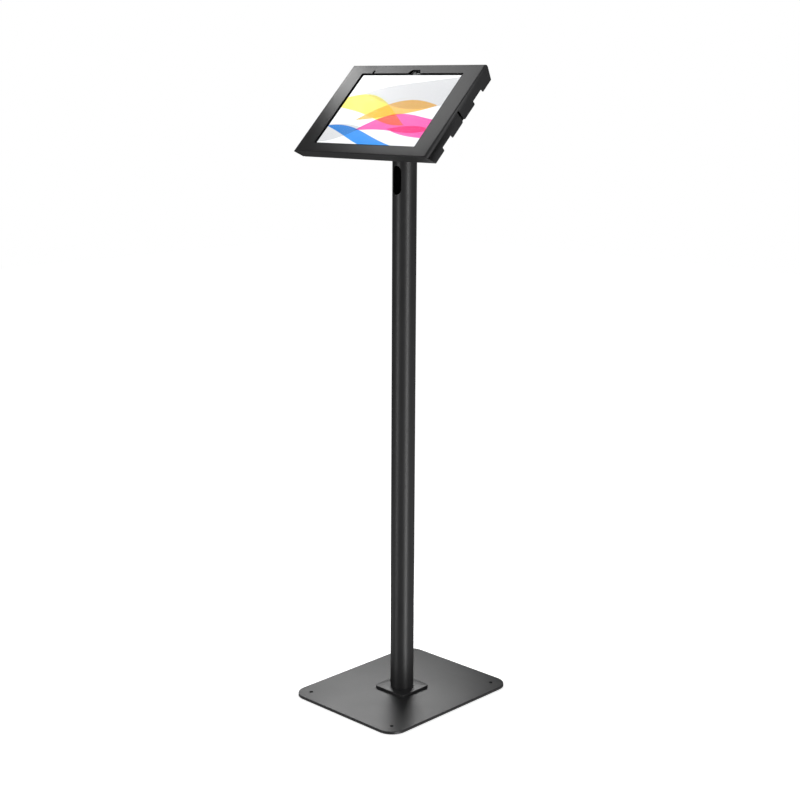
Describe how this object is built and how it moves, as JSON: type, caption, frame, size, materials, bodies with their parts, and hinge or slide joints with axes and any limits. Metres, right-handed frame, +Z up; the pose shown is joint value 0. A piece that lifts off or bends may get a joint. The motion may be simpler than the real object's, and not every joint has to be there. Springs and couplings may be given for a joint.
{
  "type": "tablet floor stand",
  "caption": "Floor stand: flat base, round pole and a tilting and turning lockable enclosure that shows a tablet's screen through a window.",
  "frame": {"origin": "on the floor, at the middle of the stand's footprint and under the pole's axis", "axes": "+Z up along the pole, -Y towards the person at the screen, +X to that person's right"},
  "size_m": [0.31, 0.3124, 1.1167],
  "materials": {
    "black_coat": "satin black powder coat",
    "zinc_steel": "zinc plated",
    "lock_metal": "polished plating",
    "plain_steel": "bare steel",
    "plug_metal": "black anodised",
    "pad_rubber": "matte rubber",
    "foam": "closed-cell foam",
    "nylon": "natural nylon",
    "tablet_shell": "blasted and anodised",
    "cover_glass": "clear, with a black border",
    "screen": "lit panel",
    "lens": "black lens",
    "battery_wrap": "black film",
    "board": "green solder mask"
  },
  "bodies": {
    "stand": {"base_plate": "black_coat", "base_pads": "pad_rubber", "pole_flange": "black_coat", "flange_screws": "zinc_steel", "pole_tube": "black_coat", "pole_plug": "plug_metal", "plug_set_screws": "zinc_steel", "head_fork": "black_coat", "fork_screw": "zinc_steel", "fork_pins": "plain_steel", "tilt_bolt": "zinc_steel", "tilt_washers": "zinc_steel", "tilt_nut": "zinc_steel"},
    "tilt_head": {"tilt_yoke": "black_coat", "tilt_sleeve": "plain_steel", "friction_washers": "nylon", "turn_disc": "black_coat", "disc_rivets": "zinc_steel", "stop_pin": "plain_steel", "turn_washer": "nylon"},
    "turntable": {"mounting_plate": "black_coat", "turn_stud": "zinc_steel", "stud_spring_washers": "zinc_steel", "stud_nut": "zinc_steel", "plate_screws": "zinc_steel", "rear_tray": "black_coat", "cable_grommet": "pad_rubber", "tablet_rests": "pad_rubber", "tablet_retainers": "black_coat", "retainer_rivets": "zinc_steel", "tray_hinge_leaf": "black_coat", "hinge_rivets": "zinc_steel", "hinge_pin": "plain_steel", "lock_body": "lock_metal", "lock_nut": "zinc_steel", "tablet_body": "tablet_shell", "tablet_glass": "cover_glass", "tablet_display": "screen", "tablet_battery": "battery_wrap", "tablet_board": "board", "front_camera": "lens", "rear_camera": "lens", "charge_port": "plain_steel"},
    "cover": {"front_cover": "black_coat", "cover_hinge_leaf": "black_coat", "foam_strips": "foam", "lock_catch": "black_coat"},
    "lock_barrel": {"lock_plug": "lock_metal", "lock_cam": "zinc_steel", "lock_cam_screw": "zinc_steel"},
    "power_key": {"power_button": "tablet_shell"},
    "volume_up_key": {"volume_up_button": "tablet_shell"},
    "volume_down_key": {"volume_down_button": "tablet_shell"}
  },
  "joints": [
    {"name": "head_tilt", "type": "hinge", "parent": "stand", "child": "tilt_head", "pos_m": [0, 0, 1.003], "axis": [1, 0, 0], "range_deg": [-45, 45]},
    {"name": "head_turn", "type": "hinge", "parent": "tilt_head", "child": "turntable", "pos_m": [0, 0, 1.003], "axis": [0, -0.7071, 0.7071], "range_deg": [0, 90]},
    {"name": "cover_hinge", "type": "hinge", "parent": "turntable", "child": "cover", "pos_m": [-0.1507, -0.02843, 1.03143], "axis": [0, -0.7071, -0.7071], "range_deg": [0, 100]},
    {"name": "lock_turn", "type": "hinge", "parent": "turntable", "child": "lock_barrel", "pos_m": [0.137, -0.00898, 1.05441], "axis": [0, -0.7071, 0.7071], "range_deg": [0, 90]},
    {"name": "power_press", "type": "slide", "parent": "turntable", "child": "power_key", "axis": [1, 0, 0], "range_m": [0, 0.0003], "stiffness_N_per_m": 3000, "springref_m": -0.0002},
    {"name": "volume_up_press", "type": "slide", "parent": "turntable", "child": "volume_up_key", "axis": [0, -0.7071, -0.7071], "range_m": [0, 0.0003], "stiffness_N_per_m": 3000, "springref_m": -0.0002},
    {"name": "volume_down_press", "type": "slide", "parent": "turntable", "child": "volume_down_key", "axis": [0, -0.7071, -0.7071], "range_m": [0, 0.0003], "stiffness_N_per_m": 3000, "springref_m": -0.0002}
  ]
}
